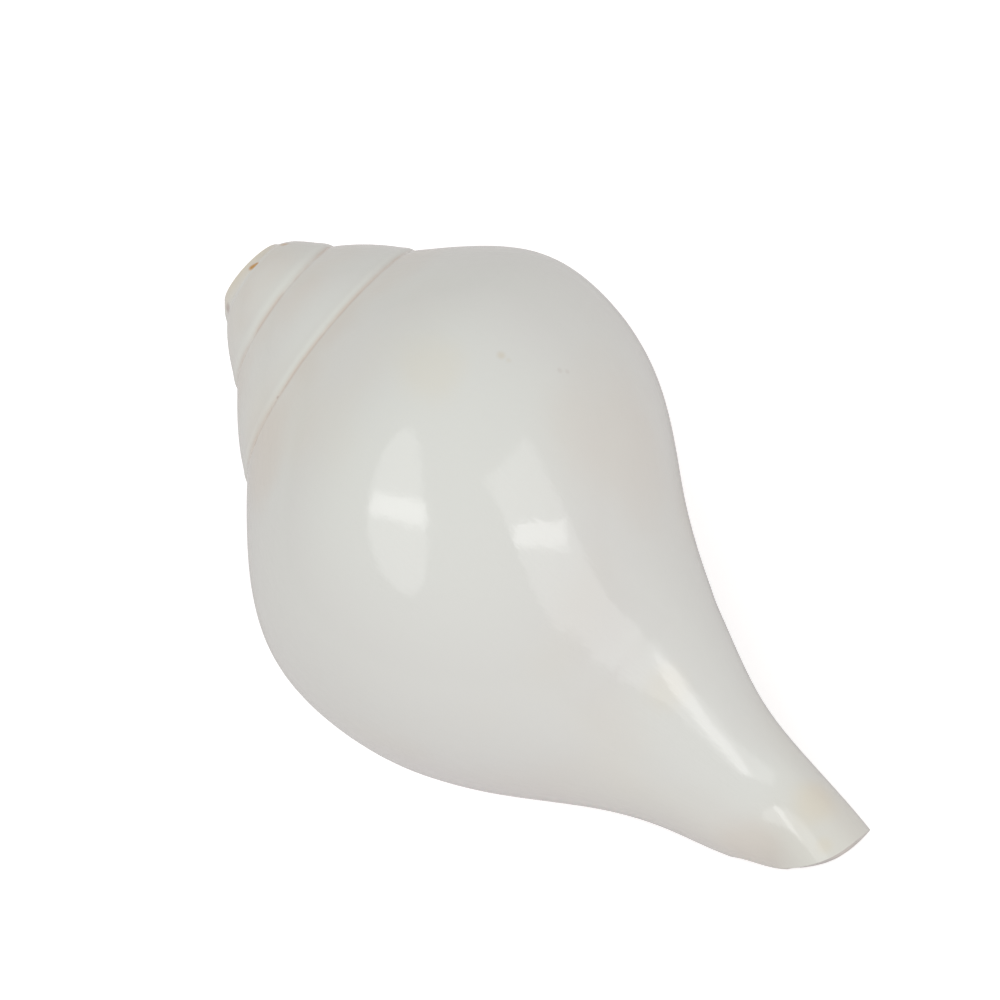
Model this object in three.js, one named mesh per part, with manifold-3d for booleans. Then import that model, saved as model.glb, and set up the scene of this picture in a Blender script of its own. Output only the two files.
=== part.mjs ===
// Conch shell (sacred chank, dextral) with a ground-off apex for blowing.
// Millimetres, +Z up. The shell lies on its aperture side, canal end towards +X,
// origin on the surface it lies on, under the middle of its box.
import * as THREE from 'three';
import { mergeVertices } from 'three/addons/utils/BufferGeometryUtils.js';
import Module from 'manifold-3d';

const wasm = await Module();
wasm.setup();

// ---- driving dimensions (shell's own frame: z runs down the coiling axis from
// the vanished apex to the canal, x to the right flank, y out of the back) ----
const turn = 2 * Math.PI;
const lipAngle = 205.4;        // degrees round the axis where the outer lip stands
const growHeight = 0.0641;     // growth rate of height, per radian
const growHeightBend = -0.0021; // its slackening, per radian squared
const growRadius = 0.0721;     // growth rate of radius, per radian
const growRadiusBend = -0.0008;
const suture = [37.7, 32.15]; // height and radius of the seam at the lip
// side of the last whorl from the first turn's seam down to the canal: height, radius
const flank = [
  [78.7, 55.4], [96.7, 52.1], [112.9, 43.6], [128.7, 31.2],
  [142.1, 22.6], [153.8, 15.9], [164.1, 9.2], [176.2, 10.5], [190.0, 10.8],
];
const knotSpacing = 0.7;       // exponent of chord length along the flank curve
const canalStart = 0.711;      // share of the flank where the canal stops growing with the whorl
const canalBend = [-9.2, 2.4]; // sideways bend of the canal, x and y
const canalBendFrom = 100;     // height where the bend begins
const canalBendOver = 70;
const cutHeight = 7.5;         // the ground face of the apex
// oblique end of the canal: x and height along its rim
const canalEnd = [
  [30, 172.0], [1.5, 168.7], [-7.4, 167.2], [-12.5, 164.2], [-15.6, 161.1], [-19.5, 153.9], [-22.5, 149.5], [-45, 149.5],
];

const wall = 4.0;              // thickness of the last whorl
const wallCanal = 1.8;         // thickness of the wall at the canal
const lipShare = 0.68;         // how much of the wall is left at the edge of the lip
const lipThins = 0.6;          // radians over which it thins
const lipRound = 1.5;          // how far the lip rounds forward
const cornerGap = 0.07;        // share of flank taken by the inner corner under the seam
const callus = 0.7;            // glaze over the inner wall
const callusFade = 0.6;        // radians
const pillarDip = 0.64;        // how far the pillar draws in beside the canal
const pillarDipOver = 2.0;     // radians
const cavityTurns = 3.55;      // how far back the hollow winds
const cavityReach = 0.80;      // share of the flank the hollow reaches inside
const foldHeights = [88, 95.5, 103]; // ridges on the pillar, height at the lip
const foldRise = 2.0;
const foldWidth = 1.9;

const restPitch = 15.84;           // degrees, canal end down
const restRoll = 3.35;            // degrees about the long axis

// ---- steps of the facets ----
const stepsPerTurn = 32;       // round the outside
const spireTurns = 2.75;
const hollowSteps = [24, 16];  // per turn inside: next to the aperture, further back
const seamRows = 5;
const bandRows = 3;            // across the lip
const flankParts = [[0.62, 6], [0.80, 8], [1, 4]]; // up to this share, rows

const clamp = (x) => Math.min(1, Math.max(0, x));
const smooth = (x) => { x = clamp(x); return x * x * (3 - 2 * x); };
const mix = (a, b, t) => a + (b - a) * t;
const between = (p, q, t) => [mix(p[0], q[0], t), mix(p[1], q[1], t)];

const growth = (a) => [
  Math.exp(growHeight * a + growHeightBend * a * a),
  Math.exp(growRadius * a + growRadiusBend * a * a),
];

// natural cubic through the points, over a parameter of its own
function naturalSpline(at, values) {
  const n = at.length;
  const second = new Array(n).fill(0);
  const upper = new Array(n).fill(0);
  for (let i = 1; i < n - 1; i++) {
    const h0 = at[i] - at[i - 1], h1 = at[i + 1] - at[i];
    const rhs = 6 * ((values[i + 1] - values[i]) / h1 - (values[i] - values[i - 1]) / h0);
    const pivot = 2 * (h0 + h1) - h0 * upper[i - 1];
    upper[i] = h1 / pivot;
    second[i] = (rhs - h0 * second[i - 1]) / pivot;
  }
  for (let i = n - 2; i > 0; i--) second[i] -= upper[i] * second[i + 1];
  return (x) => {
    let i = 0;
    while (i < n - 2 && x > at[i + 1]) i++;
    const h = at[i + 1] - at[i], b = (x - at[i]) / h, a = 1 - b;
    return a * values[i] + b * values[i + 1]
      + ((a ** 3 - a) * second[i] + (b ** 3 - b) * second[i + 1]) * h * h / 6;
  };
}

// outer side of the last whorl; its second point is the seam of one turn before, grown by a turn
const perTurn = growth(-turn);
const knots = [suture, [suture[0] / perTurn[0], suture[1] / perTurn[1]], ...flank];
const along = [0];
for (let i = 1; i < knots.length; i++) {
  along.push(along[i - 1] + Math.hypot(knots[i][0] - knots[i - 1][0], knots[i][1] - knots[i - 1][1]) ** knotSpacing);
}
const share = along.map((d) => d / along[along.length - 1]);
const flankHeight = naturalSpline(share, knots.map((k) => k[0]));
const flankRadius = naturalSpline(share, knots.map((k) => k[1]));
const seamShare = share[1];

// height and radius on the outer surface at growth angle a (0 at the lip) and share s;
// deep makes the canal part grow with the whorl as well
function outerAt(a, s, deep = 0, inset = 0) {
  const [gh, gr] = growth(a);
  const w = mix(1 - smooth((s - canalStart) / (1 - canalStart)), 1, deep);
  const step = 1e-3, s0 = Math.max(0, s - step), s1 = Math.min(1, s + step);
  const th = flankHeight(s1) - flankHeight(s0), tr = flankRadius(s1) - flankRadius(s0);
  const length = Math.hypot(th, tr);
  let h = (flankHeight(s) + inset * tr / length) * gh ** w;
  let r = (flankRadius(s) - inset * th / length) * gr ** w;
  // the row at the next seam stays on that seam while the growth rate slackens
  const back = Math.min(0, a + turn);
  const tie = smooth(s / seamShare);
  h *= Math.exp(2 * turn * growHeightBend * back * tie);
  r *= Math.exp(2 * turn * growRadiusBend * back * tie);
  const nearLip = 1 - smooth(Math.abs(a + turn) / pillarDipOver);
  r *= 1 - pillarDip * nearLip * smooth((s - 0.8) / 0.12);
  return [h, r];
}

// glaze and folds raised over the inner wall at height h, fading outwards ahead of the lip
function glazeAt(a, s, h) {
  const fade = 1 - smooth((a + turn) / callusFade);
  const grown = growth(Math.min(0, a + turn))[0];
  let lift = callus * smooth((s - seamShare) / 0.08);
  if (s > 0.4) {
    for (const f of foldHeights) lift += foldRise * Math.exp(-(((h / grown - f) / foldWidth) ** 2));
  }
  return lift * fade * grown;
}

// height and radius to a point in the shell's own frame
function place(a, [h, r]) {
  const b = a + THREE.MathUtils.degToRad(lipAngle);
  const x = Math.min(1.3, Math.max(0, (h - canalBendFrom) / canalBendOver));
  return new THREE.Vector3(r * Math.cos(b) + canalBend[0] * x * x, r * Math.sin(b) + canalBend[1] * x * x, h);
}

function outerPoint(a, s) {
  const [h, r] = outerAt(a, s);
  return place(a, [h, s > seamShare ? r + glazeAt(a, s, h) : r]);
}

const deepAt = (a) => smooth(-a / 1.6);
const reachAt = (a) => mix(1, cavityReach, smooth(-a / 2.2));
const cornerShare = seamShare + cornerGap;
const cornerRow = 0.4 * seamShare;

// inner wall of the hollow: the whorl before, glazed
function innerWall(a, s) {
  const q = cornerShare + (s - cornerShare) * (reachAt(a) - cornerShare) / (1 - cornerShare);
  const [h, r] = outerAt(a - turn, q, deepAt(a));
  return [h, r + glazeAt(a - turn, q, h)];
}
// outer wall of the hollow: the inside of this whorl, with a sloping corner under the seam
function underWall(a, s) {
  if (s < cornerRow) return between(innerWall(a, cornerShare), underWall(a, cornerRow), s / cornerRow);
  const q = s * reachAt(a);
  const thick = mix(wall, wallCanal, smooth((q - 0.5) / 0.35)) * mix(lipShare, 1, smooth(-a / lipThins));
  return outerAt(a, q, deepAt(a), thick);
}

// ---- closed mesh from welded patches ----
const positions = [];
const seen = new Map();
const triangles = [];
function vertex(p) {
  const key = `${Math.round(p.x * 2e4)},${Math.round(p.y * 2e4)},${Math.round(p.z * 2e4)}`;
  if (!seen.has(key)) { seen.set(key, positions.length / 3); positions.push(p.x, p.y, p.z); }
  return seen.get(key);
}
function triangle(a, b, c) { if (a !== b && b !== c && c !== a) triangles.push(a, b, c); }
function patch(columns, flip) {
  const ids = columns.map((column) => column.map(vertex));
  for (let i = 0; i + 1 < ids.length; i++) {
    for (let j = 0; j + 1 < ids[i].length; j++) {
      const a = ids[i][j], b = ids[i + 1][j], c = ids[i + 1][j + 1], d = ids[i][j + 1];
      if (flip) { triangle(a, c, b); triangle(a, d, c); } else { triangle(a, b, c); triangle(a, c, d); }
    }
  }
}
const steps = (from, to, n) => Array.from({ length: n + 1 }, (_, i) => mix(from, to, i / n));

const spireRows = steps(0, seamShare, seamRows);
const cornerRows = steps(seamShare, cornerShare, bandRows);
const wallRows = [cornerShare];
for (const [upTo, n] of flankParts) wallRows.push(...steps(wallRows[wallRows.length - 1], upTo, n).slice(1));
const allRows = [...spireRows, ...cornerRows.slice(1), ...wallRows.slice(1)];

// last whorl and spire
const spireFrom = -turn * (1 + spireTurns);
const lastWhorl = steps(-turn, 0, stepsPerTurn);
patch(lastWhorl.map((a) => allRows.map((s) => outerPoint(a, s))));
patch(steps(spireFrom, -turn, stepsPerTurn * spireTurns).map((a) => spireRows.map((s) => outerPoint(a, s))));

// edge of the lip, rounded forward
const lipWay = THREE.MathUtils.degToRad(lipAngle + 90);
const ahead = new THREE.Vector3(Math.cos(lipWay), Math.sin(lipWay), 0);
const lipBand = allRows.map((s) => {
  if (s === 0) return cornerRows.map((q) => outerPoint(-turn, q));
  const from = outerPoint(0, s), to = place(0, underWall(0, s));
  return steps(0, 1, bandRows).map((b) => from.clone().lerp(to, b)
    .addScaledVector(ahead, lipRound * smooth(s / 0.12) * Math.sqrt(Math.max(0, 1 - (2 * b - 1) ** 2))));
});
patch(lipBand, true);

// the hollow, winding back from the aperture
const hollowAngles = [
  ...steps(0, -turn, hollowSteps[0]),
  ...steps(-turn, -turn * cavityTurns, Math.round(hollowSteps[1] * (cavityTurns - 1))).slice(1),
];
const endRows = 4;
function section(a) {
  const under = allRows.map((s) => underWall(a, s));
  const inner = wallRows.map((s) => innerWall(a, s)).reverse();
  const [from, to] = [under[under.length - 1], inner[0]];
  const end = steps(0, 1, endRows).slice(1, -1).map((t) => [mix(from[0], to[0], t ** 1.6), to[1]]);
  return [...under, ...end, ...inner].map((p) => place(a, p));
}
patch(hollowAngles.map(section));

// closing fans: blind end of the hollow, far end of the canal, top of the spire
const middle = (loop) => loop.reduce((m, p) => m.add(p), new THREE.Vector3()).divideScalar(loop.length);
function fan(loop, centre, flip) {
  const c = vertex(centre);
  const ids = loop.map(vertex);
  for (let i = 0; i + 1 < ids.length; i++) {
    if (flip) triangle(c, ids[i + 1], ids[i]); else triangle(c, ids[i], ids[i + 1]);
  }
}
const blind = section(-turn * cavityTurns);
fan(blind, middle(blind), true);

const rim = lastWhorl.map((a) => outerPoint(a, 1));
const lipEnd = lipBand[lipBand.length - 1];
const mouthEnd = section(0).slice(allRows.length - 1, allRows.length + endRows);
fan([...rim, ...lipEnd.slice(1), ...mouthEnd.slice(1)], middle(rim), false);

const top = steps(spireFrom, spireFrom + turn, stepsPerTurn).map((a) => outerPoint(a, 0));
const topColumn = spireRows.map((s) => outerPoint(spireFrom, s)).reverse();
fan([...top, ...topColumn.slice(1)], middle(top), true);

// ---- ground apex and oblique canal end ----
function solidOf(geometry) {
  const bare = new THREE.BufferGeometry().setAttribute('position', geometry.getAttribute('position'));
  if (geometry.index) bare.setIndex(geometry.index);
  const welded = mergeVertices(bare, 1e-4);
  return new wasm.Manifold(new wasm.Mesh({
    numProp: 3,
    vertProperties: new Float32Array(welded.attributes.position.array),
    triVerts: new Uint32Array(welded.index.array),
  }));
}
const grown = new wasm.Manifold(new wasm.Mesh({
  numProp: 3, vertProperties: new Float32Array(positions), triVerts: new Uint32Array(triangles),
}));
const apexBlock = solidOf(new THREE.BoxGeometry(100, 100, 60).translate(0, 0, cutHeight - 30));
const endShape = new THREE.Shape([[30, 230], [-45, 230], ...[...canalEnd].reverse()].map(([x, h]) => new THREE.Vector2(x, h)));
const endBlock = solidOf(new THREE.ExtrudeGeometry(endShape, { depth: 120, bevelEnabled: false })
  .rotateX(Math.PI / 2).translate(0, 60, 0));
const solid = grown.subtract(apexBlock).subtract(endBlock);

// ---- lay it down: canal towards +X, back upwards, aperture underneath ----
const mesh = solid.getMesh();
const geometry = new THREE.BufferGeometry();
geometry.setAttribute('position', new THREE.BufferAttribute(new Float32Array(mesh.vertProperties), 3));
geometry.setIndex(new THREE.BufferAttribute(new Uint32Array(mesh.triVerts), 1));
geometry.applyMatrix4(new THREE.Matrix4().makeBasis(
  new THREE.Vector3(0, 1, 0), new THREE.Vector3(0, 0, 1), new THREE.Vector3(1, 0, 0)));
geometry.rotateX(THREE.MathUtils.degToRad(restRoll));
geometry.rotateY(THREE.MathUtils.degToRad(restPitch));
geometry.computeBoundingBox();
const box = geometry.boundingBox;
geometry.translate(-(box.min.x + box.max.x) / 2, -(box.min.y + box.max.y) / 2, -box.min.z);
geometry.computeVertexNormals();

const shell = new THREE.Mesh(geometry, new THREE.MeshStandardMaterial({ color: 0xe9e4da, roughness: 0.25 }));
shell.name = 'shell';

const conch = new THREE.Group();
conch.add(shell);
export default conch;
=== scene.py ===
from math import pi, radians

import bmesh
import bpy
import numpy as np
from mathutils import Matrix, Vector


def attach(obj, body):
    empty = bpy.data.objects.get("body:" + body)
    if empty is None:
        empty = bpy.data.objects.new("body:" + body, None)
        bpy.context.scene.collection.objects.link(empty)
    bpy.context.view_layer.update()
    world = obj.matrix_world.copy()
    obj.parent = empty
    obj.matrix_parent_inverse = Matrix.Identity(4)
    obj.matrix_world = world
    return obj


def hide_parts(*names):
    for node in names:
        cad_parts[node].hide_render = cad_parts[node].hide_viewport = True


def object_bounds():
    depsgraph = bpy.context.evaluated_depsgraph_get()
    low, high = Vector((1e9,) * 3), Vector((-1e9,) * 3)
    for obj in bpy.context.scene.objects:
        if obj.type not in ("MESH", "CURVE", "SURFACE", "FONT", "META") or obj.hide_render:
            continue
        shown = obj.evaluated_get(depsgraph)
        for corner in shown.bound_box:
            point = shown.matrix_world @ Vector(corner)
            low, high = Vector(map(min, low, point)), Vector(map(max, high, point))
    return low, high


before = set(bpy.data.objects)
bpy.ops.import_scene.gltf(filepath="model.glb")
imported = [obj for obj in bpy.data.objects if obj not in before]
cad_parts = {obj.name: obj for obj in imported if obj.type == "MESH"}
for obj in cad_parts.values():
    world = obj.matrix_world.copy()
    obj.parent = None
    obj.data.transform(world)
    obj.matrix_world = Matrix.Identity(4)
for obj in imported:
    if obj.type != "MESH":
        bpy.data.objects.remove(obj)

cadBox = [list(corner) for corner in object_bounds()]
turn = 2 * pi

# camera, looking down on the closed back of the shell
viewpoint = {
    "place": (0.2902, -0.0348, 0.6631),
    "turned": (20.364, 16.343, 45.258),   # degrees
    "lens": 131.95,
    "sensor": 36,
    "nearest": 0.01,
}
lensData = bpy.data.cameras.new("viewpoint")
lensData.lens = viewpoint["lens"]
lensData.sensor_width = viewpoint["sensor"]
lensData.clip_start = viewpoint["nearest"]
camera = bpy.data.objects.new("viewpoint", lensData)
camera.location = viewpoint["place"]
camera.rotation_euler = [radians(a) for a in viewpoint["turned"]]
bpy.context.scene.collection.objects.link(camera)
bpy.context.scene.camera = camera
print("camera placed")

# the shell, in millimetres and radians, z down the coiling axis to the canal
shellSizes = {
    "Lip angle": radians(205.4),      # where the outer lip stands
    "Height growth": 0.0641,          # per radian
    "Height slackening": -0.0021,     # per radian squared
    "Radius growth": 0.0721,
    "Radius slackening": -0.0008,
    "Canal start": 0.711,             # share of the flank where the canal stops growing
    "Canal bend x": -9.2,
    "Canal bend y": 2.4,
    "Wall": 4.0,
    "Canal wall": 1.8,
    "Lip share": 0.68,                # wall left at the edge of the lip
    "Lip rounding": 1.5,
    "Glaze": 0.7,
    "Pillar dip": 0.64,
    "Fold rise": 2.0,
    "Fold width": 1.9,
    "Hollow turns": 3.55,
    "Hollow reach": 0.80,
    "Seam groove": 0.07,
    "Seam groove width": 0.55,
    "Seam bead": 0.19,
    "Seam bead width": 0.85,
    "Seam bead gap": 1.35,
    "Seams from height": 9.5,         # worn away nearer the ground apex
    "Ground rim": 0.6,                # rounding of its edge
    "Unevenness": 0.12,
    "Crease height": 115.0,           # a pause in growth across the start of the canal
    "Crease rise": 0.22,
    "Crease width": 1.3,
    "Crease angle": radians(105),
}
shellShape = {
    "seam": (37.7, 32.15),            # height and radius of the seam at the lip
    "flank": [(78.7, 55.4), (96.7, 52.1), (112.9, 43.6), (128.7, 31.2), (142.1, 22.6),
              (153.8, 15.9), (164.1, 9.2), (176.2, 10.5), (190.0, 10.8)],
    "spacing": 0.7,
    "folds": (88.0, 95.5, 103.0),     # heights of the pillar folds at the lip
    "groundHeight": 7.5,              # the ground apex
    "canalEnd": [(30, 172.0), (1.5, 168.7), (-7.4, 167.2), (-12.5, 164.2), (-15.6, 161.1),
                 (-19.5, 153.9), (-22.5, 149.5), (-45, 149.5)],
    "spireTurns": 2.75,
    "cornerGap": 0.07,                # share of the flank between the seam and the hollow's corner
    "cornerRows": 0.4,                # share of the seam's rows that slope towards that corner
    "bendFrom": 100.0,                # height where the canal starts to bend aside
    "bendOver": 70.0,
    "bendMost": 1.3,
    "blindShare": 0.6,                # middle of the hollow's blind end
    "topCentre": (0.0, 0.0, 2.5),     # middles of the closing caps, ground or cut away later
    "canalCentre": (0.0, 0.0, 190.0),
    "pitch": radians(15.84),          # how it lies, canal end down
    "roll": radians(3.35),
    "fitWithin": 0.9999,              # share of the model's own box
}
blends = {   # where one form passes into the next, in shares of the flank at first
    "dip": (0.8, 0.92),               # the pillar draws in
    "glaze": 0.08,                    # glaze thickens over this much past the seam
    "folds": 0.4,                     # folds only beyond this
    "wall": (0.5, 0.85),              # wall thins towards the canal
    "bulge": (0.0, 0.12),             # lip rounding starts
    "follow": (0.0, 0.06),            # lip leaves the whorl before
    "dipAngle": (0.0, 2.0),           # radians from one turn before the lip, as the next two
    "glazeAngle": (0.0, 0.6),
    "mouthAngle": (0.0, 0.12),
    "reachAngle": (0.0, 2.2),         # radians back from the lip: the hollow shortens
    "deepAngle": (0.0, 1.6),          # the canal closes inside
    "lipAngle": (0.0, 0.6),           # the wall gains its full thickness
    "seams": 5.0,                     # millimetres of height over which the seams appear
    "groundRim": (-0.6, 2.4),         # millimetres of height past the ground apex
    "endCurve": 1.6,                  # bend of the hollow's narrow side
    "endRush": 4.0,
}
shellSteps = {
    "perTurn": 180,
    "seamRows": 44,
    "cornerRows": 8,
    "wallRows": 92,
    "lipRows": 8,
    "endRows": 8,
    "hollowColumns": 128,
    "hollowSpacing": 1.35,            # columns stand closer together near the lip
    "seamSpacing": 0.85,              # eased rows stand closer together near both seams
    "flankTable": 800,
    "leanStep": 1e-3,
    "rimPoints": 41,
    "weldGap": 0.004,                 # millimetres
    "sharpFrom": radians(38),
}
unevenness = {"scale": 0.055, "detail": 2.0, "roughness": 0.45, "seed": 7.0, "creaseSpread": 0.32}
grinding = {"apexHalf": 50, "apexDepth": 60, "endHalf": 60, "endFar": 230}   # millimetres


def naturalSpline(at, values):
    # natural cubic through the points
    at, values = np.array(at), np.array(values)
    n = len(at)
    gaps = np.diff(at)
    system, wanted = np.eye(n), np.zeros(n)
    for i in range(1, n - 1):
        system[i, i - 1:i + 2] = gaps[i - 1], 2 * (gaps[i - 1] + gaps[i]), gaps[i]
        wanted[i] = 6 * ((values[i + 1] - values[i]) / gaps[i] - (values[i] - values[i - 1]) / gaps[i - 1])
    second = np.linalg.solve(system, wanted)

    def valueAt(x):
        i = np.clip(np.searchsorted(at, x) - 1, 0, n - 2)
        b = (x - at[i]) / gaps[i]
        a = 1 - b
        return (a * values[i] + b * values[i + 1]
                + ((a**3 - a) * second[i] + (b**3 - b) * second[i + 1]) * gaps[i]**2 / 6)
    return valueAt


def growthOver(angle):
    # how much height and radius have grown at an angle, against those at the lip
    return [np.exp(shellSizes[kind + " growth"] * angle + shellSizes[kind + " slackening"] * angle**2)
            for kind in ("Height", "Radius")]


def newObject(name, vertices, faces=()):
    mesh = bpy.data.meshes.new(name)
    mesh.from_pydata([tuple(v) for v in vertices], [], [tuple(f) for f in faces])
    mesh.update()
    made = bpy.data.objects.new(name, mesh)
    bpy.context.scene.collection.objects.link(made)
    return made


# flank of the last whorl: a row of points (height, radius, length so far), each with its lean
seamHeight, seamRadius = shellShape["seam"]
backHeight, backRadius = growthOver(-turn)
knots = np.array([(seamHeight, seamRadius), (seamHeight / backHeight, seamRadius / backRadius)]
                 + shellShape["flank"])
chords = np.hypot(*np.diff(knots, axis=0).T) ** shellShape["spacing"]
shares = np.concatenate([[0], np.cumsum(chords)]) / chords.sum()
seamShare = float(shares[1])
cornerShare = seamShare + shellShape["cornerGap"]
cornerRow = shellShape["cornerRows"] * seamShare
flankHeight = naturalSpline(shares, knots[:, 0])
flankRadius = naturalSpline(shares, knots[:, 1])
ticks = np.linspace(0, 1, shellSteps["flankTable"] + 1)
before = np.maximum(ticks - shellSteps["leanStep"], 0)
after = np.minimum(ticks + shellSteps["leanStep"], 1)
leanHeight = flankHeight(after) - flankHeight(before)
leanRadius = flankRadius(after) - flankRadius(before)
leanLength = np.hypot(leanHeight, leanRadius)
heights, radii = flankHeight(ticks), flankRadius(ticks)
lengths = np.concatenate([[0], np.cumsum(np.hypot(np.diff(heights), np.diff(radii)))])
seamLength = float(np.interp(seamShare, ticks, lengths))
flankTable = newObject("flankTable", np.column_stack([heights, radii, lengths]))
lean = flankTable.data.attributes.new("lean", "FLOAT_VECTOR", "POINT")
lean.data.foreach_set("vector", np.column_stack(
    [leanRadius / leanLength, -leanHeight / leanLength, 0 * ticks]).astype(np.float32).ravel())
print("flank drawn")

# grinding block for the apex, and the oblique cut at the end of the canal
ground = shellShape["groundHeight"]
sides = (-grinding["apexHalf"], grinding["apexHalf"])
corners = [(x, y, z) for z in (ground - grinding["apexDepth"], ground) for y in sides for x in sides]
apexBlock = newObject("apexBlock", corners,
                      [(0, 2, 3, 1), (4, 5, 7, 6), (0, 1, 5, 4), (2, 6, 7, 3), (0, 4, 6, 2), (1, 3, 7, 5)])
rim = np.array(shellShape["canalEnd"][1:-1][::-1], float)
rimLength = np.concatenate([[0], np.cumsum(np.hypot(*np.diff(rim, axis=0).T))])
rimSteps = np.linspace(0, rimLength[-1], shellSteps["rimPoints"])
smoothRim = np.column_stack([naturalSpline(rimLength, rim[:, i])(rimSteps) for i in (0, 1)]).tolist()
rimStart, rimEnd = shellShape["canalEnd"][0], shellShape["canalEnd"][-1]
outline = [(rimStart[0], grinding["endFar"]), (rimEnd[0], grinding["endFar"]), rimEnd, *smoothRim, rimStart]
count = len(outline)
corners = [(x, y, z) for y in (-grinding["endHalf"], grinding["endHalf"]) for x, z in outline]
endBlock = newObject("endBlock", corners,
                     [range(count), range(2 * count - 1, count - 1, -1)]
                     + [(i, i + count, (i + 1) % count + count, (i + 1) % count) for i in range(count)])
for block in (apexBlock, endBlock):
    cut = bmesh.new()
    cut.from_mesh(block.data)
    bmesh.ops.recalc_face_normals(cut, faces=cut.faces)
    bmesh.ops.triangulate(cut, faces=cut.faces)
    cut.to_mesh(block.data)
    cut.free()


class Wire:
    # a socket of a node tree that can be added, multiplied and so on
    def __init__(self, tree, socket):
        self.tree, self.socket = tree, socket

    def math(self, operation, *others):
        node = self.tree.nodes.new("ShaderNodeMath")
        node.operation = operation
        for slot, value in zip(node.inputs, (self, *others)):
            plug(slot, value)
        return Wire(self.tree, node.outputs[0])

    def __add__(self, other):
        return self.math("ADD", other)

    def __sub__(self, other):
        return self.math("SUBTRACT", other)

    def __mul__(self, other):
        return self.math("MULTIPLY", other)

    def __truediv__(self, other):
        return self.math("DIVIDE", other)

    def __rsub__(self, other):
        return (self * -1.0) + other

    __radd__ = __add__
    __rmul__ = __mul__

    def exp(self):
        return self.math("EXPONENT")

    def ease(self, low, high):
        # 0 below low, 1 above high, smooth between
        node = self.tree.nodes.new("ShaderNodeMapRange")
        node.interpolation_type = "SMOOTHSTEP"
        for slot, value in zip(node.inputs, (self, low, high, 0.0, 1.0)):
            plug(slot, value)
        return Wire(self.tree, node.outputs[0])

    def hump(self, centre, width):
        # a bell of height 1
        off = (self - centre) / width
        return (off * off * -1.0).exp()


def plug(slot, value):
    if isinstance(value, Wire):
        value.tree.links.new(value.socket, slot)
    else:
        slot.default_value = value


def between(low, high, part):
    return low + (high - low) * part


def splitVector(tree, socket):
    node = tree.nodes.new("ShaderNodeSeparateXYZ")
    tree.links.new(socket, node.inputs[0])
    return [Wire(tree, out) for out in node.outputs]


def joinVector(tree, *parts):
    node = tree.nodes.new("ShaderNodeCombineXYZ")
    for slot, value in zip(node.inputs, parts):
        plug(slot, value)
    return Wire(tree, node.outputs[0])


def mixVector(tree, low, high, part):
    node = tree.nodes.new("ShaderNodeMix")
    node.data_type = "VECTOR"
    plug(node.inputs["Factor"], part)
    tree.links.new(low.socket, node.inputs[4])
    tree.links.new(high.socket, node.inputs[5])
    return Wire(tree, node.outputs[1])


def newTree(name, inputs, outputs, sizes=()):
    # an empty tree; a list of the shell's sizes becomes inputs of the same name
    tree = bpy.data.node_groups.new(name, "GeometryNodeTree")
    for socketName, kind in outputs:
        tree.interface.new_socket(socketName, in_out="OUTPUT", socket_type="NodeSocket" + kind)
    for socketName, kind in inputs:
        tree.interface.new_socket(socketName, in_out="INPUT", socket_type="NodeSocket" + kind)
    for socketName in sizes:
        socket = tree.interface.new_socket(socketName, in_out="INPUT", socket_type="NodeSocketFloat")
        socket.default_value = shellSizes[socketName]
    source = tree.nodes.new("NodeGroupInput")
    wires = {out.name: Wire(tree, out) for out in source.outputs if out.name}
    return tree, wires, tree.nodes.new("NodeGroupOutput")


def use(group, wires, **given):
    # inputs that aren't given come from the caller's inputs of the same name
    tree = next(iter(wires.values())).tree
    node = tree.nodes.new("GeometryNodeGroup")
    node.node_tree = group
    for slot in node.inputs:
        name = slot.name.title().replace(" ", "")
        name = name[0].lower() + name[1:]
        value = given[name] if name in given else wires.get(slot.name)
        if value is not None:
            plug(slot, value)
    return [Wire(tree, out) for out in node.outputs]


def newNode(tree, kind, **inputs):
    node = tree.nodes.new(kind)
    for name, value in inputs.items():
        plug(node.inputs[name.replace("_", " ")], value)
    return node


def send(sink, *values):
    for slot, value in zip(sink.inputs, values):
        plug(slot, value)


# height, radius and length on the flank, and its lean, at a share of it
flankGroup, wires, sink = newTree("flankAt", [("Share", "Float")], [
    (n, "Float") for n in ("Height", "Radius", "Length", "Lean height", "Lean radius")])
table = newNode(flankGroup, "GeometryNodeObjectInfo", Object=flankTable)
leanAttribute = newNode(flankGroup, "GeometryNodeInputNamedAttribute", Name="lean")
leanAttribute.data_type = "FLOAT_VECTOR"
spot = newNode(flankGroup, "GeometryNodeInputPosition")
row = wires["Share"] * float(shellSteps["flankTable"])
low = row.math("FLOOR").math("MINIMUM", shellSteps["flankTable"] - 1.0).math("MAXIMUM", 0.0)
found = []
for value in (spot.outputs[0], leanAttribute.outputs[0]):
    ends = []
    for index in (low, low + 1.0):
        node = newNode(flankGroup, "GeometryNodeSampleIndex")
        node.data_type = "FLOAT_VECTOR"
        flankGroup.links.new(table.outputs["Geometry"], node.inputs["Geometry"])
        flankGroup.links.new(value, node.inputs["Value"])
        plug(node.inputs["Index"], index)
        ends.append(Wire(flankGroup, node.outputs[0]))
    found += splitVector(flankGroup, mixVector(flankGroup, *ends, row - low).socket)
send(sink, *found[:5])

growthNames = ["Height growth", "Height slackening", "Radius growth", "Radius slackening"]


def power(wires, angle, kind):
    return angle * wires[kind + " growth"] + angle * angle * wires[kind + " slackening"]


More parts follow.
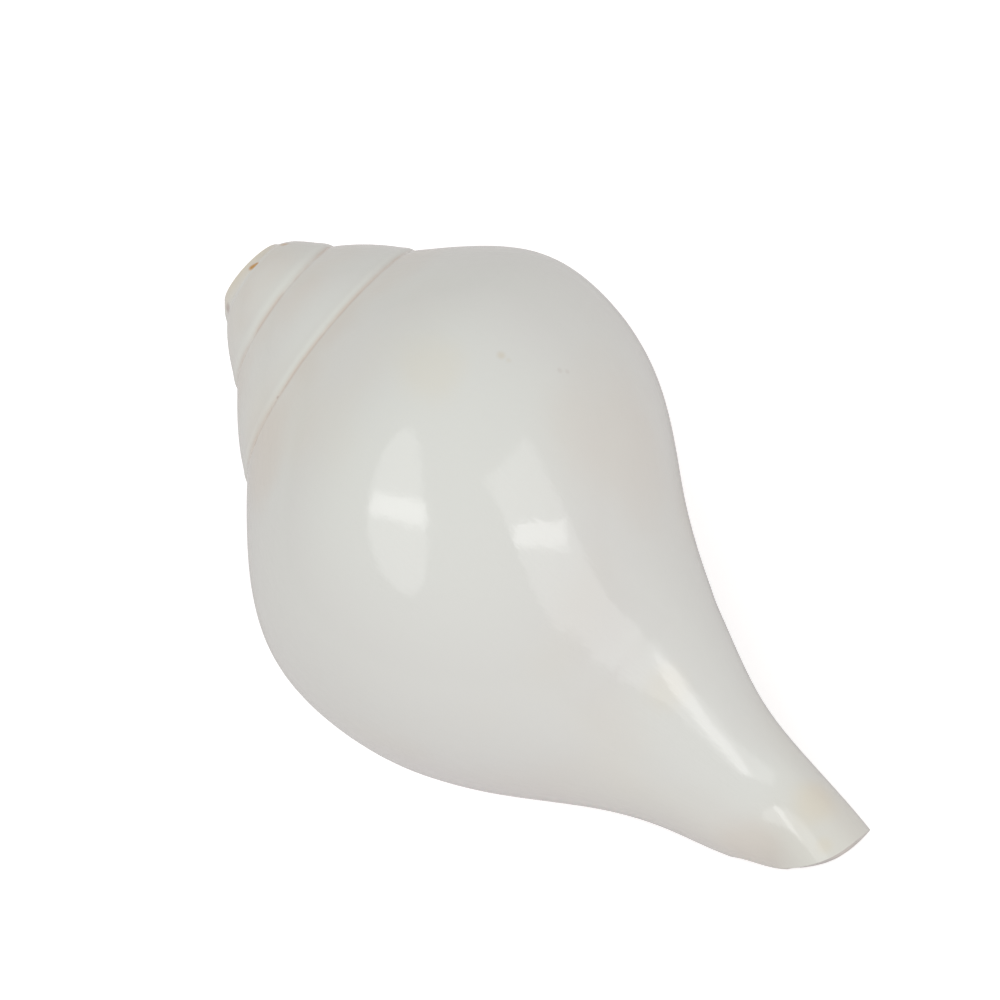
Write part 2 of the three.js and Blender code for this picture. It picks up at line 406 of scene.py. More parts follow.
# height and radius at a growth angle (0 at the lip) and a share of the flank
wallNames = growthNames + ["Canal start", "Pillar dip"]
wallGroup, wires, sink = newTree("wallAt", [(n, "Float") for n in ("Angle", "Share", "Deep", "Inset")],
                                 [("Height", "Float"), ("Radius", "Float")], wallNames)
angle, share = wires["Angle"], wires["Share"]
height, radius, length, leanH, leanR = use(flankGroup, wires)
growing = between(1.0 - share.ease(wires["Canal start"], 1.0), 1.0, wires["Deep"])
height = (height + leanH * wires["Inset"]) * (power(wires, angle, "Height") * growing).exp()
radius = (radius + leanR * wires["Inset"]) * (power(wires, angle, "Radius") * growing).exp()
slack = (angle + turn).math("MINIMUM", 0.0) * share.ease(0.0, seamShare) * (2 * turn)   # keeps the seam shut
height = height * (slack * wires["Height slackening"]).exp()
radius = radius * (slack * wires["Radius slackening"]).exp()
nearLip = 1.0 - (angle + turn).math("ABSOLUTE").ease(*blends["dipAngle"])
send(sink, height, radius * (1.0 - nearLip * wires["Pillar dip"] * share.ease(*blends["dip"])))

# glaze and folds raised over the inner wall
glazeNames = growthNames[:2] + ["Glaze", "Fold rise", "Fold width"]
glazeGroup, wires, sink = newTree("glazeAt", [(n, "Float") for n in ("Angle", "Share", "Height")],
                                  [("Lift", "Float")], glazeNames)
angle, share = wires["Angle"], wires["Share"]
grown = power(wires, (angle + turn).math("MINIMUM", 0.0), "Height").exp()
folds = sum((wires["Height"] / grown).hump(fold, wires["Fold width"]) for fold in shellShape["folds"])
lift = wires["Glaze"] * share.ease(seamShare, seamShare + blends["glaze"])
lift = lift + folds * wires["Fold rise"] * share.math("GREATER_THAN", blends["folds"])
send(sink, lift * (1.0 - (angle + turn).ease(*blends["glazeAngle"])) * grown)

# height and radius to a point round the axis
placeNames = ["Lip angle", "Canal bend x", "Canal bend y"]
placeGroup, wires, sink = newTree("placed", [(n, "Float") for n in ("Angle", "Height", "Radius")],
                                  [("Point", "Vector")], placeNames)
around = wires["Angle"] + wires["Lip angle"]
past = (wires["Height"] - shellShape["bendFrom"]) / shellShape["bendOver"]
off = past.math("MAXIMUM", 0.0).math("MINIMUM", shellShape["bendMost"])
send(sink, joinVector(placeGroup,
                      wires["Radius"] * around.math("COSINE") + off * off * wires["Canal bend x"],
                      wires["Radius"] * around.math("SINE") + off * off * wires["Canal bend y"],
                      wires["Height"]))

# outer surface with the groove and bead of its seams; seam is millimetres below the one above,
# above the one below, and how far that one is there
seamNames = ["Seam groove", "Seam groove width", "Seam bead", "Seam bead width", "Seam bead gap",
             "Seams from height", "Ground rim"]
outerNames = wallNames + glazeNames[2:] + placeNames + seamNames
outerGroup, wires, sink = newTree("outerPoint", [("Angle", "Float"), ("Share", "Float")],
                                  [("Point", "Vector"), ("Seam", "Vector")], outerNames)
angle, share = wires["Angle"], wires["Share"]
height, radius = use(wallGroup, wires, deep=0.0, inset=0.0)
lift, = use(glazeGroup, wires, height=height)
length = use(flankGroup, wires)[2]
below = length * power(wires, angle, "Radius").exp()
above = (length - seamLength) * power(wires, angle, "Radius").exp()
mouthSide = (angle + turn).ease(*blends["mouthAngle"])
seamsShow = height.ease(wires["Seams from height"], wires["Seams from height"] + blends["seams"])
radius = radius + lift * share.math("GREATER_THAN", seamShare)
for distance, part in ((below, 1.0), (above, 1.0 - mouthSide)):
    relief = (distance.hump(wires["Seam bead gap"] * -1.0, wires["Seam bead width"]) * wires["Seam bead"]
              - distance.hump(0.0, wires["Seam groove width"]) * wires["Seam groove"])
    radius = radius + relief * part * seamsShow
radius = radius - wires["Ground rim"] * (1.0 - height.ease(*[ground + past for past in blends["groundRim"]]))
send(sink, use(placeGroup, wires, height=height, radius=radius)[0],
     joinVector(outerGroup, below, above, 1.0 - mouthSide))

# inner wall of the hollow: the whorl before, glazed
innerNames = wallNames + glazeNames[2:] + ["Hollow reach"]
innerGroup, wires, sink = newTree("innerWall", [("Angle", "Float"), ("Share", "Float")],
                                  [("Height", "Float"), ("Radius", "Float")], innerNames)
back = wires["Angle"] * -1.0
reach = between(1.0, wires["Hollow reach"], back.ease(*blends["reachAngle"]))
along = (wires["Share"] - cornerShare) * (reach - cornerShare) / (1 - cornerShare) + cornerShare
height, radius = use(wallGroup, wires, angle=wires["Angle"] - turn, share=along,
                     deep=back.ease(*blends["deepAngle"]), inset=0.0)
lift, = use(glazeGroup, wires, angle=wires["Angle"] - turn, share=along, height=height)
send(sink, height, radius + lift)

# outer wall of the hollow, with a sloping corner under the seam
underNames = innerNames + ["Wall", "Canal wall", "Lip share"]
underGroup, wires, sink = newTree("underWall", [("Angle", "Float"), ("Share", "Float")],
                                  [("Height", "Float"), ("Radius", "Float")], underNames)
back = wires["Angle"] * -1.0
low = use(innerGroup, wires, share=cornerShare)
reach = between(1.0, wires["Hollow reach"], back.ease(*blends["reachAngle"]))
along = wires["Share"].math("MAXIMUM", cornerRow) * reach
thick = (between(wires["Wall"], wires["Canal wall"], along.ease(*blends["wall"]))
         * between(wires["Lip share"], 1.0, back.ease(*blends["lipAngle"])))
high = use(wallGroup, wires, share=along, deep=back.ease(*blends["deepAngle"]), inset=thick)
part = (wires["Share"] / cornerRow).math("MINIMUM", 1.0)
send(sink, between(low[0], high[0], part), between(low[1], high[1], part))

# a point of the hollow: kind 0 under the whorl, 1 its far end, 2 over the whorl before
hollowNames = underNames + placeNames
hollowGroup, wires, sink = newTree("hollowPoint", [(n, "Float") for n in ("Angle", "Share", "Kind")],
                                   [("Point", "Vector")], hollowNames)
under, inner = use(underGroup, wires), use(innerGroup, wires)
start, end = use(underGroup, wires, share=1.0), use(innerGroup, wires, share=1.0)
across = (between(start[0], end[0], wires["Share"].math("POWER", blends["endCurve"])),
          between(start[1], end[1], (wires["Share"] * blends["endRush"]).math("MINIMUM", 1.0)))
isEnd = 1.0 - (wires["Kind"] - 1.0).math("ABSOLUTE").math("MINIMUM", 1.0)
isInner = wires["Kind"].math("GREATER_THAN", 1.5)
height, radius = [between(between(under[i], across[i], isEnd), inner[i], isInner) for i in (0, 1)]
send(sink, use(placeGroup, wires, height=height, radius=radius)[0])

# the lip, rounded forward; at its top it follows the whorl before
lipNames = outerNames + ["Hollow reach", "Wall", "Canal wall", "Lip share", "Lip rounding"]
lipGroup, wires, sink = newTree("lipPoint", [("Across", "Float"), ("Share", "Float")],
                                [("Point", "Vector")], lipNames)
across, share = wires["Across"], wires["Share"]
start = use(outerGroup, wires, angle=0.0)[0]
height, radius = use(underGroup, wires, angle=0.0)
end = use(placeGroup, wires, angle=0.0, height=height, radius=radius)[0]
topStart = use(outerGroup, wires, angle=0.0, share=0.0)[0]
topEnd = use(outerGroup, wires, angle=-turn, share=cornerShare)[0]
follow = use(outerGroup, wires, angle=-turn, share=across * shellShape["cornerGap"] + seamShare)[0]
edge = across * 2.0 - 1.0
bulge = ((1.0 - edge * edge).math("MAXIMUM", 0.0).math("SQRT")
         * wires["Lip rounding"] * share.ease(*blends["bulge"]))
ahead = wires["Lip angle"] + pi / 2
parts = []
for chord, top, over, way in zip(splitVector(lipGroup, mixVector(lipGroup, start, end, across).socket),
                                 splitVector(lipGroup, mixVector(lipGroup, topStart, topEnd, across).socket),
                                 splitVector(lipGroup, follow.socket),
                                 (ahead.math("COSINE"), ahead.math("SINE"), 0.0)):
    parts.append(chord + (over - top) * (1.0 - share.ease(*blends["follow"])) + bulge * way)
send(sink, joinVector(lipGroup, *parts))

noSeam = (99.0, -99.0, 0.0)   # a seam mark far from every seam


def bend(tree, wires, shape, marks):
    # a flat grid of Columns by Rows bent into shape; marks are the angle, share, inside and seam
    # for the finish
    grid = newNode(tree, "GeometryNodeMeshGrid", Size_X=1.0, Size_Y=1.0,
                   Vertices_X=wires["Columns"], Vertices_Y=wires["Rows"])
    spot = splitVector(tree, newNode(tree, "GeometryNodeInputPosition").outputs[0])
    u, v = spot[0] + 0.5, spot[1] + 0.5
    mesh = Wire(tree, grid.outputs["Mesh"])
    point = shape(u, v)
    angle, share, inside, distance = marks(u, v)
    for name, value in (("growth", joinVector(tree, angle, share, inside)), ("seam", distance)):
        store = newNode(tree, "GeometryNodeStoreNamedAttribute", Name=name, Geometry=mesh)
        store.data_type, store.domain = "FLOAT_VECTOR", "CORNER"
        plug(next(s for s in store.inputs if s.name == "Value" and s.enabled), value)
        mesh = Wire(tree, store.outputs[0])
    return Wire(tree, newNode(tree, "GeometryNodeSetPosition", Geometry=mesh, Position=point).outputs[0])


gridInputs = [("Columns", "Int"), ("Rows", "Int")]
shareInputs = [("Share from", "Float"), ("Share to", "Float"), ("Eased", "Float")]
angleInputs = [("Angle from", "Float"), ("Angle to", "Float")]


def shareOver(wires, v):
    # along the flank; eased rows stand closer together near both seams
    v = v - (v * turn).math("SINE") * wires["Eased"] * (shellSteps["seamSpacing"] / turn)
    return between(wires["Share from"], wires["Share to"], v)


outerPatch, wires, sink = newTree("outerPatch", gridInputs + shareInputs + angleInputs,
                                  [("Geometry", "Geometry")], outerNames)


def outerOver(u, v):
    angle, share = between(wires["Angle from"], wires["Angle to"], u), shareOver(wires, v)
    return angle, share, use(outerGroup, wires, angle=angle, share=share)


send(sink, bend(outerPatch, wires, lambda u, v: outerOver(u, v)[2][0],
                lambda u, v: (*outerOver(u, v)[:2], 0.0, outerOver(u, v)[2][1])))

lipPatch, wires, sink = newTree("lipPatch", gridInputs + shareInputs, [("Geometry", "Geometry")], lipNames)
send(sink, bend(lipPatch, wires, lambda u, v: use(lipGroup, wires, across=u, share=shareOver(wires, v))[0],
                lambda u, v: (0.0, shareOver(wires, v), u, noSeam)))

hollowPatch, wires, sink = newTree("hollowPatch", gridInputs + shareInputs + [("Kind", "Float")],
                                   [("Geometry", "Geometry")], hollowNames + ["Hollow turns"])


def backTo(u):
    return u.math("POWER", shellSteps["hollowSpacing"]) * wires["Hollow turns"] * -turn


send(sink, bend(hollowPatch, wires,
                lambda u, v: use(hollowGroup, wires, angle=backTo(u), share=shareOver(wires, v))[0],
                lambda u, v: (backTo(u), shareOver(wires, v), 1.0, noSeam)))

# closing caps, all ground or cut away later
blindCap, wires, sink = newTree("blindCap", gridInputs + shareInputs + [("Kind", "Float")],
                                [("Geometry", "Geometry")], hollowNames + ["Hollow turns"])
blind = wires["Hollow turns"] * -turn
facing = [use(hollowGroup, wires, angle=blind, share=shellShape["blindShare"], kind=kind)[0]
          for kind in (0.0, 2.0)]
middle = mixVector(blindCap, *facing, 0.5)
send(sink, bend(blindCap, wires,
                lambda u, v: mixVector(blindCap, middle,
                                       use(hollowGroup, wires, angle=blind, share=shareOver(wires, u))[0], v),
                lambda u, v: (u, v, 1.0, noSeam)))

capPatch, wires, sink = newTree("capPatch", gridInputs + shareInputs + angleInputs + [("Centre", "Vector")],
                                [("Geometry", "Geometry")], outerNames)


def capEdge(u):
    angle = between(wires["Angle from"], wires["Angle to"], u)
    return use(outerGroup, wires, angle=angle, share=shareOver(wires, u))[0]


send(sink, bend(capPatch, wires, lambda u, v: mixVector(capPatch, wires["Centre"], capEdge(u), v),
                lambda u, v: (u, v, 1.0, noSeam)))

mouthCap, wires, sink = newTree("mouthCap", gridInputs + [("Centre", "Vector")],
                                [("Geometry", "Geometry")], hollowNames)
send(sink, bend(mouthCap, wires,
                lambda u, v: mixVector(mouthCap, use(hollowGroup, wires, angle=0.0, share=u, kind=1.0)[0],
                                       wires["Centre"], v),
                lambda u, v: (u, v, 1.0, noSeam)))
lipCap, wires, sink = newTree("lipCap", gridInputs + [("Centre", "Vector")],
                              [("Geometry", "Geometry")], lipNames)
send(sink, bend(lipCap, wires,
                lambda u, v: mixVector(lipCap, use(lipGroup, wires, across=u, share=1.0)[0],
                                       wires["Centre"], v),
                lambda u, v: (u, v, 1.0, noSeam)))
print("growth groups built")

# the whole shell: patches, weld, cuts, shading
shellInputs = [("Geometry", "Geometry"), ("Seed", "Float"), ("Apex block", "Object"),
               ("End block", "Object"), ("Finish", "Material")]
shellTree, wires, sink = newTree("shellGrowth", shellInputs, [("Geometry", "Geometry")], list(shellSizes))
shellTree.is_modifier = True
steps = shellSteps
spireFrom = -turn * (1 + shellShape["spireTurns"])
spireColumns = int(steps["perTurn"] * shellShape["spireTurns"])
rowParts = [dict(rows=steps["seamRows"] + 1, shareFrom=0.0, shareTo=seamShare, eased=1.0),
            dict(rows=steps["cornerRows"] + 1, shareFrom=seamShare, shareTo=cornerShare, eased=0.0),
            dict(rows=steps["wallRows"] + 1, shareFrom=cornerShare, shareTo=1.0, eased=0.0)]
underParts = [dict(part, kind=0.0) for part in rowParts]
endPart = dict(rows=steps["endRows"] + 1, shareFrom=0.0, shareTo=1.0, eased=0.0, kind=1.0)
innerPart = dict(rows=steps["wallRows"] + 1, shareFrom=1.0, shareTo=cornerShare, eased=0.0, kind=2.0)
patches = [use(outerPatch, wires, columns=steps["perTurn"] + 1, angleFrom=-turn, angleTo=0.0, **part)
           for part in rowParts]
patches += [use(outerPatch, wires, columns=spireColumns + 1, angleFrom=spireFrom, angleTo=-turn,
                **rowParts[0])]
patches += [use(lipPatch, wires, columns=steps["lipRows"] + 1, **part) for part in rowParts]
for part in [*underParts, endPart, innerPart]:
    patches.append(use(hollowPatch, wires, columns=steps["hollowColumns"] + 1, **part))
    patches.append(use(blindCap, wires, columns=part["rows"], **dict(part, rows=2)))
topCentre, canalCentre = shellShape["topCentre"], shellShape["canalCentre"]
patches += [
    use(capPatch, wires, columns=steps["perTurn"] + 1, rows=2, angleFrom=spireFrom, angleTo=spireFrom + turn,
        shareFrom=0.0, shareTo=0.0, eased=0.0, centre=topCentre),
    use(capPatch, wires, columns=steps["seamRows"] + 1, rows=2, angleFrom=spireFrom, angleTo=spireFrom,
        shareFrom=seamShare, shareTo=0.0, eased=1.0, centre=topCentre),
    use(mouthCap, wires, columns=steps["endRows"] + 1, rows=2, centre=canalCentre),
    use(lipCap, wires, columns=steps["lipRows"] + 1, rows=2, centre=canalCentre),
    use(capPatch, wires, columns=steps["perTurn"] + 1, rows=2, angleFrom=0.0, angleTo=-turn,
        shareFrom=1.0, shareTo=1.0, eased=0.0, centre=canalCentre)]
joined = newNode(shellTree, "GeometryNodeJoinGeometry")
for patch, in patches:
    shellTree.links.new(patch.socket, joined.inputs[0])
weld = newNode(shellTree, "GeometryNodeMergeByDistance", Geometry=Wire(shellTree, joined.outputs[0]),
               Distance=shellSteps["weldGap"])

spot = Wire(shellTree, newNode(shellTree, "GeometryNodeInputPosition").outputs[0])
uneven = newNode(shellTree, "ShaderNodeTexNoise", Vector=spot, Scale=unevenness["scale"],
                 Detail=unevenness["detail"], Roughness=unevenness["roughness"])
uneven.noise_dimensions = "4D"
plug(uneven.inputs["W"], wires["Seed"])
swell = newNode(shellTree, "ShaderNodeVectorMath")
swell.operation = "SCALE"
shellTree.links.new(newNode(shellTree, "GeometryNodeInputNormal").outputs[0], swell.inputs[0])
outX, outY, outZ = splitVector(shellTree, spot.socket)
crease = (outZ.hump(wires["Crease height"], wires["Crease width"]) * wires["Crease rise"]
          * outY.math("ARCTAN2", outX).hump(wires["Crease angle"], unevenness["creaseSpread"]))
waves = (Wire(shellTree, uneven.outputs[0]) - 0.5) * 2.0 * wires["Unevenness"]
plug(swell.inputs["Scale"], waves + crease)
settle = newNode(shellTree, "GeometryNodeSetPosition", Geometry=Wire(shellTree, weld.outputs[0]),
                 Offset=Wire(shellTree, swell.outputs[0]))
mesh = Wire(shellTree, settle.outputs[0])
for name, mark in (("Apex block", 1.0), ("End block", 2.0)):
    block = newNode(shellTree, "GeometryNodeObjectInfo", Object=wires[name])
    marked = newNode(shellTree, "GeometryNodeStoreNamedAttribute", Name="ground",
                     Geometry=Wire(shellTree, block.outputs["Geometry"]))
    marked.data_type, marked.domain = "FLOAT", "CORNER"
    next(s for s in marked.inputs if s.name == "Value" and s.enabled).default_value = mark
    cut = newNode(shellTree, "GeometryNodeMeshBoolean")
    cut.operation, cut.solver = "DIFFERENCE", "MANIFOLD"
    plug(cut.inputs["Mesh 1"], mesh)
    plug(cut.inputs["Mesh 2"], Wire(shellTree, marked.outputs[0]))
    mesh = Wire(shellTree, cut.outputs["Mesh"])
allSmooth = newNode(shellTree, "GeometryNodeSetShadeSmooth", Geometry=mesh)
allSmooth.domain = "FACE"
edgeAngle = Wire(shellTree, newNode(shellTree, "GeometryNodeInputMeshEdgeAngle").outputs["Unsigned Angle"])
sharp = newNode(shellTree, "GeometryNodeSetShadeSmooth", Geometry=Wire(shellTree, allSmooth.outputs[0]),
                Shade_Smooth=False, Selection=edgeAngle.math("GREATER_THAN", shellSteps["sharpFrom"]))
sharp.domain = "EDGE"
realize = newNode(shellTree, "GeometryNodeRealizeInstances", Geometry=Wire(shellTree, sharp.outputs[0]))
finished = newNode(shellTree, "GeometryNodeSetMaterial", Geometry=Wire(shellTree, realize.outputs[0]),
                   Material=wires["Finish"])
send(sink, Wire(shellTree, finished.outputs[0]))
print("growth tree built")

porcelain = bpy.data.materials.new("polishedShell")
porcelain.use_nodes = True

seedObject = newObject("shellSeed", [(0, 0, 0)])
growing = seedObject.modifiers.new("shellGrowth", "NODES")
growing.node_group = shellTree
identifier = {item.name: item.identifier for item in shellTree.interface.items_tree if item.in_out == "INPUT"}
for name, value in shellSizes.items():
    growing[identifier[name]] = value
growing[identifier["Apex block"]] = apexBlock
growing[identifier["End block"]] = endBlock
growing[identifier["Finish"]] = porcelain
growing[identifier["Seed"]] = unevenness["seed"]
graph = bpy.context.evaluated_depsgraph_get()
shellMesh = bpy.data.meshes.new_from_object(seedObject.evaluated_get(graph), depsgraph=graph,
                                            preserve_all_data_layers=True)
seedObject.modifiers.remove(growing)
for used in (seedObject, flankTable, apexBlock, endBlock):
    bpy.data.objects.remove(used)
print("shell grown,", len(shellMesh.vertices), "vertices,", len(shellMesh.polygons), "faces")

# lay it down: canal towards +X, back upwards, then bring it to size inside the model's own box
basis = Matrix(((0, 0, 1), (1, 0, 0), (0, 1, 0))).to_4x4()
lay = (Matrix.Rotation(shellShape["pitch"], 4, "Y") @ Matrix.Rotation(shellShape["roll"], 4, "X") @ basis)
shellMesh.transform(lay)
points = np.empty(len(shellMesh.vertices) * 3, np.float32)
shellMesh.vertices.foreach_get("co", points)
points = points.reshape(-1, 3)
low, high = Vector(points.min(axis=0).tolist()), Vector(points.max(axis=0).tolist())
boxLow, boxHigh = Vector(cadBox[0]), Vector(cadBox[1])
fit = min((boxHigh[i] - boxLow[i]) / (high[i] - low[i]) for i in range(3)) * shellShape["fitWithin"]
middle = Vector(((low.x + high.x) / 2, (low.y + high.y) / 2, low.z)) * fit
home = Vector(((boxLow.x + boxHigh.x) / 2, (boxLow.y + boxHigh.y) / 2, boxLow.z))
shellMesh.transform(Matrix.Translation(home - middle) @ Matrix.Scale(fit, 4))
shellMesh.name = "conchShell"
shell = bpy.data.objects.new("conchShell", shellMesh)
bpy.context.scene.collection.objects.link(shell)
print("shell laid down, fitted by", round(fit * 1000, 4))

# polished shell: whites that drift from grey to cream, tan seams with a painted highlight along their beads,
# warm mouth, yellowed cuts
polish = {
    "white": (0.735, 0.735, 0.715, 1),
    "cream": (0.74, 0.69, 0.60, 1),
    "grey": (0.70, 0.67, 0.68, 1),
    "peach": (0.70, 0.62, 0.55, 1),
    "seamTan": (0.64, 0.51, 0.43, 1),
    # paler colour painted on the seam bead as a highlight
    "ridge": (0.76, 0.76, 0.73, 1),
    "mouth": (0.83, 0.74, 0.65, 1),
    "cut": (0.75, 0.66, 0.52, 1),
    "layer": (0.62, 0.52, 0.37, 1),
    "amber": (0.55, 0.27, 0.05, 1),
    "umber": (0.36, 0.25, 0.22, 1),
    "roughness": (0.07, 0.13),
    "glossRange": (0.3, 0.7),
    "lineDepth": 0.00002,          # metres
    "wrinkleDepth": 0.000036,
    "lineSpacing": (26.0, 5.0),    # growth lines a radian, and waves along them
    "coat": 0.25,
    "coatRoughness": 0.08,
    "ior": 1.53,
}
noises = {   # scale, detail and, for some, roughness
    "clouds": (22.0, 2.0),
    "shadows": (13.0, 2.0),
    "blotches": (55.0, 3.0),
    "breaks": (140.0, 2.0),
    "layers": (420.0, 2.0),
    "wrinkles": (480.0, 2.0, 0.6),
    "gloss": (60.0, 2.0),
    "lines": (1.0, 2.5, 0.6),
}
tints = {   # the range of a pattern over which a tint comes in, if any, and how strong it gets
    "cream": ((0.48, 0.75), 0.35),
    "grey": ((0.5, 0.72), 0.5),
    "peach": ((0.30, 0.7), 0.45),
    "seamTan": ((0.2, 0.65), 0.65),
    "layer": ((0.45, 0.7), 0.6),
    "ridge": (None, 0.7),
    "rim": (None, 0.55),
    "mouth": (None, 0.8),
    "cut": (None, 0.85),
}
bands = {
    "peachFrom": (0.2, 1.5),          # millimetres below a seam
    "peachTo": (2.0, 12.0),
    "ridge": (-1.35, 0.8),            # millimetres from a seam, centre and width of the painted highlight on the seam bead
    "seam": (0.0, 0.60),
    "wander": (0.5, 0.15),            # how far the tan line strays, and how far it sits up
    "worn": (0.0100, 0.0150),         # metres along the coiling axis, as the next two
    "rim": (0.0080, 0.0105),
    "rimWander": 0.003,
    "canalCut": (1.2, 1.8),           # between the ground marks 1 and 2
    "canalPaler": 0.70,               # the canal's cut against the apex
    "layerStretch": 0.2,              # growth layers run along the shell
    "stain": (0.25, 1.1),             # shares of a stain's reach
}
axisWay = (0.962, -0.273, 0.0955)     # metres along the coiling axis from the apex: x, z and start
stains = [   # place in metres, reach, colour, strength
    ((-0.0735, 0.0058, 0.0583), 0.0010, "amber", 1.00),
    ((-0.0733, 0.0064, 0.0583), 0.0009, "amber", 0.95),
    ((-0.0731, 0.0070, 0.0582), 0.0007, "amber", 0.90),
    ((-0.0733, 0.0135, 0.0555), 0.0012, "amber", 0.60),
    ((-0.0735, -0.0030, 0.0543), 0.0013, "umber", 0.55),
    ((-0.0452, -0.0096, 0.0656), 0.0005, "umber", 0.60),
    ((-0.0121, 0.0226, 0.0757), 0.0013, "layer", 0.34),
    ((-0.0104, 0.0231, 0.0757), 0.0011, "layer", 0.36),
    ((-0.0044, 0.0281, 0.0696), 0.0008, "umber", 0.12),
    ((-0.0036, 0.0290, 0.0686), 0.0007, "umber", 0.12),
    ((0.0689, 0.0035, 0.0174), 0.0060, "cut", 0.42),
    ((0.0763, -0.0015, 0.0175), 0.0022, "cream", 0.60),
    ((0.0640, -0.0110, 0.0120), 0.0090, "peach", 0.34),
    ((-0.0400, -0.0200, 0.0630), 0.0130, "peach", 0.42),
    ((0.0094, 0.0265, 0.0598), 0.0200, "peach", 0.28),
    ((-0.0184, 0.0117, 0.0799), 0.0090, "cream", 0.35),
    ((0.0401, -0.0008, 0.0374), 0.0060, "cream", 0.35),
]
porcelain.node_tree.nodes.clear()
paintTree = porcelain.node_tree


def paintNode(kind, **inputs):
    return newNode(paintTree, kind, **inputs)


def noiseOf(vector, scale, detail, roughness=0.5):
    node = paintNode("ShaderNodeTexNoise", Vector=vector, Scale=scale, Detail=detail, Roughness=roughness)
    return Wire(paintTree, node.outputs[0])


def tinted(base, colour, part):
    # base colour turned towards another by part
    node = paintNode("ShaderNodeMix")
    node.data_type = "RGBA"
    plug(node.inputs[0], part)
    plug(node.inputs[6], base)
    plug(node.inputs[7], colour)
    return Wire(paintTree, node.outputs[2])


def tintOf(name, wire):
    # how strongly the named tint shows
    ease, strength = tints[name]
    return (wire.ease(*ease) if ease else wire) * strength


def attributeOf(name, output):
    node = paintNode("ShaderNodeAttribute")
    node.attribute_name = name
    return Wire(paintTree, node.outputs[output])


spot = Wire(paintTree, paintNode("ShaderNodeTexCoord").outputs["Object"])
spotParts = splitVector(paintTree, spot.socket)
angle, share, inside = splitVector(paintTree, attributeOf("growth", "Vector").socket)
below, above, covered = splitVector(paintTree, attributeOf("seam", "Vector").socket)
cutMark = attributeOf("ground", "Fac")
isOuter = 1.0 - inside.math("MINIMUM", 1.0)

clouds = noiseOf(spot, *noises["clouds"])
blotches = noiseOf(spot, *noises["blotches"])
offMiddle = blotches - 0.5
colour = tinted(polish["white"], polish["cream"], tintOf("cream", clouds))
colour = tinted(colour, polish["grey"], tintOf("grey", noiseOf(spot, *noises["shadows"])))
fromApex = spotParts[0] * axisWay[0] + spotParts[2] * axisWay[1] + axisWay[2]
worn = 1.0 - fromApex.ease(*bands["worn"])
under = below.ease(*bands["peachFrom"]) * (1.0 - below.ease(*bands["peachTo"]))
colour = tinted(colour, polish["peach"], under * tintOf("peach", blotches))
# painted highlight: a paler band laid along the bead above each seam
colour = tinted(colour, polish["ridge"], tintOf("ridge", above.hump(*bands["ridge"]) * covered))
wander = offMiddle * bands["wander"][0] - bands["wander"][1]
tan = (below + wander).hump(*bands["seam"]) + (above + wander).hump(*bands["seam"]) * covered
tan = tan.math("MINIMUM", 1.0) * tintOf("seamTan", noiseOf(spot, *noises["breaks"]))
colour = tinted(colour, polish["seamTan"], tan * (1.0 - worn))
rim = (fromApex + offMiddle * bands["rimWander"]).ease(*bands["rim"])
colour = tinted(colour, polish["cut"], tintOf("rim", 1.0 - rim) * isOuter)
for place, reach, name, strength in stains:
    gap = paintNode("ShaderNodeVectorMath", Vector=spot)
    gap.operation = "DISTANCE"
    gap.inputs[1].default_value = place
    near = Wire(paintTree, gap.outputs["Value"]) + offMiddle * reach
    edge = near.ease(*[reach * share for share in bands["stain"]])
    colour = tinted(colour, polish[name], (1.0 - edge) * strength)
colour = tinted(colour, polish["mouth"], tintOf("mouth", inside))
stretched = joinVector(paintTree, spotParts[0] * bands["layerStretch"], spotParts[1], spotParts[2])
layers = noiseOf(stretched, *noises["layers"])
isCut = cutMark.math("MINIMUM", 1.0) * (1.0 - cutMark.ease(*bands["canalCut"]) * bands["canalPaler"])
colour = tinted(colour, polish["cut"], tintOf("cut", isCut))
colour = tinted(colour, polish["layer"], isCut * tintOf("layer", layers))

perAngle, perShare = polish["lineSpacing"]
lines = noiseOf(joinVector(paintTree, angle * perAngle, share * perShare, 0.0), *noises["lines"])
wrinkles = noiseOf(spot, *noises["wrinkles"])
relief = lines * polish["lineDepth"] + wrinkles * polish["wrinkleDepth"]
bump = paintNode("ShaderNodeBump", Strength=1.0, Distance=1.0, Height=relief)
gloss = noiseOf(spot, *noises["gloss"]).ease(*polish["glossRange"])
shader = paintNode("ShaderNodeBsdfPrincipled", Base_Color=colour, Normal=Wire(paintTree, bump.outputs[0]),
                   Roughness=between(*polish["roughness"], gloss))
shader.inputs["Coat Weight"].default_value = polish["coat"]
shader.inputs["Coat Roughness"].default_value = polish["coatRoughness"]
shader.inputs["IOR"].default_value = polish["ior"]
paintTree.links.new(shader.outputs[0], paintNode("ShaderNodeOutputMaterial").inputs["Surface"])
if not shellMesh.materials:
    shellMesh.materials.append(porcelain)
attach(shell, "root")
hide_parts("shell")
print("shell polished")

# plain pale floor and soft studio light
studio = {
    "floorSize": 6.0,
    "floorColour": (0.76, 0.73, 0.74, 1),
    "floorGlow": 0.58,                  # lifts the paper to white
    "sky": 0.715,
    "skyLow": (0.83, 0.75, 0.77, 1),
    "skyHigh": (0.97, 1.0, 0.95, 1),
    "skyRange": (0.0, 0.75),            # height over which the sky turns from low to high
    "lit": (0.01, 0.0, 0.06),           # the lights face this place
    "away": 1.2,
    "step": 0.01,                       # each light stands this much nearer than the one before
}
floor = newObject("floor", [(x * studio["floorSize"], y * studio["floorSize"], 0) for x, y in
                            ((-1, -1), (1, -1), (1, 1), (-1, 1))], [(0, 1, 2, 3)])
paper = bpy.data.materials.new("paleFloor")
paper.use_nodes = True
paperTree = paper.node_tree
paperTree.nodes.clear()
matt = newNode(paperTree, "ShaderNodeBsdfDiffuse", Color=studio["floorColour"])
seen = Wire(paperTree, newNode(paperTree, "ShaderNodeLightPath").outputs["Is Camera Ray"])
glow = newNode(paperTree, "ShaderNodeEmission", Strength=seen * studio["floorGlow"])
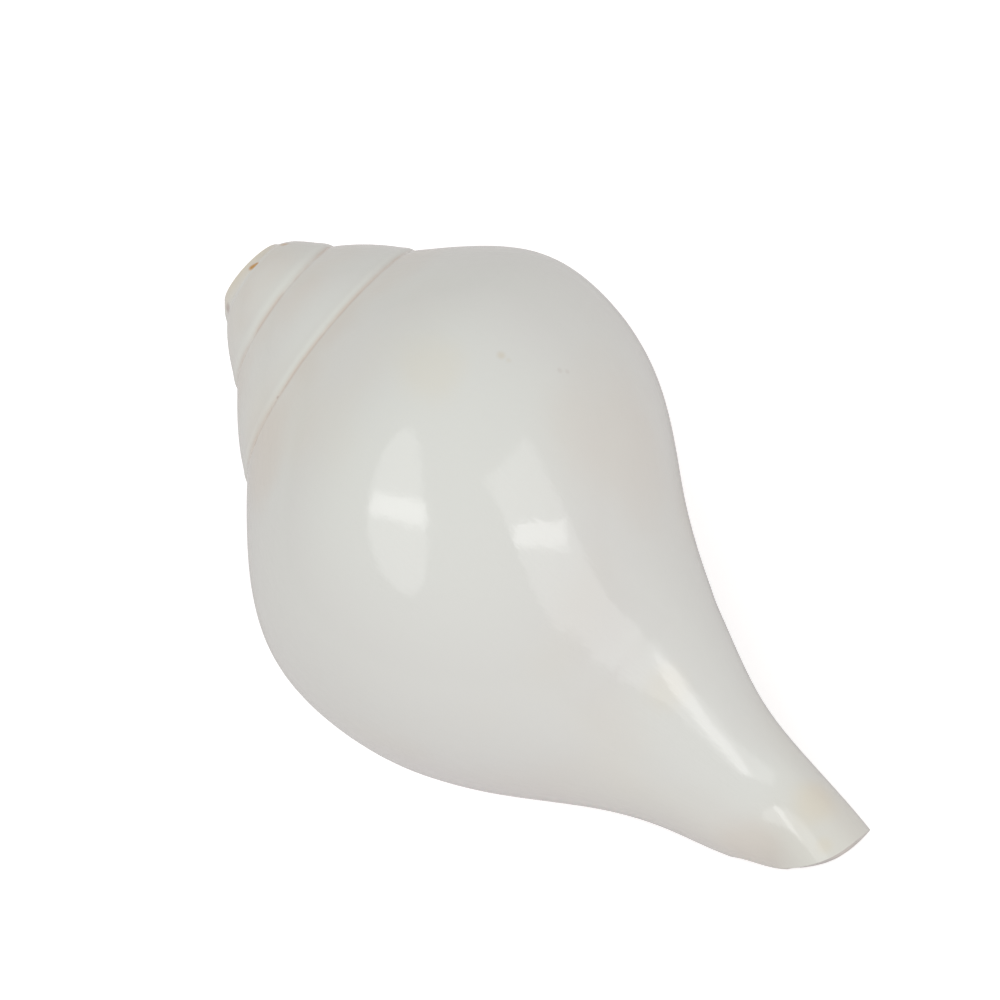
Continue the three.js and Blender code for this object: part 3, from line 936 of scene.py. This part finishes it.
both = newNode(paperTree, "ShaderNodeAddShader")
paperTree.links.new(matt.outputs[0], both.inputs[0])
paperTree.links.new(glow.outputs[0], both.inputs[1])
paperTree.links.new(both.outputs[0], newNode(paperTree, "ShaderNodeOutputMaterial").inputs["Surface"])
floor.data.materials.append(paper)

softBoxes = {   # way to it from the shell, way its long side runs, width and length in metres, watts
    "leftBox": ((0.04, -0.47, 0.88), (0.59, -0.72, -0.40), (0.64, 1.55), 2.35),
    "leftTube": ((0.06, -0.46, 0.86), (0.475, 0.21, 0.09), (0.19, 0.60), 0.70),
    "rightBox": ((0.82, 0.27, 0.47), (0.55, -0.29, -0.68), (0.66, 1.35), 2.2),
    "rightTube": ((0.83, 0.23, 0.45), (0.08, 0.31, -0.36), (0.18, 0.56), 0.58),
}
lit, away = Vector(studio["lit"]), studio["away"]
for name, (way, along, (width, tall), watts) in softBoxes.items():
    data = bpy.data.lights.new(name, "AREA")
    data.shape = "ELLIPSE" if name == "leftBox" else "RECTANGLE"
    data.size, data.size_y, data.energy = width, tall, watts
    facing = Vector(way).normalized()
    across = Vector(along).cross(facing).normalized()
    box = bpy.data.objects.new(name, data)
    box.visible_camera = False
    box.matrix_world = (Matrix.Translation(lit + facing * away)
                        @ Matrix((across, facing.cross(across), facing)).transposed().to_4x4())
    bpy.context.scene.collection.objects.link(box)
    away -= studio["step"]
world = bpy.data.worlds.new("studio")
world.use_nodes = True
skyTree = world.node_tree
skyUp = splitVector(skyTree, newNode(skyTree, "ShaderNodeTexCoord").outputs["Generated"])[2]
sky = newNode(skyTree, "ShaderNodeMix")
sky.data_type = "RGBA"
plug(sky.inputs[0], skyUp.ease(*studio["skyRange"]))
sky.inputs[6].default_value, sky.inputs[7].default_value = studio["skyLow"], studio["skyHigh"]
skyTree.links.new(sky.outputs[2], skyTree.nodes["Background"].inputs[0])
skyTree.nodes["Background"].inputs[1].default_value = studio["sky"]
bpy.context.scene.world = world
bpy.context.scene.view_settings.view_transform = "Standard"
print("studio lit")
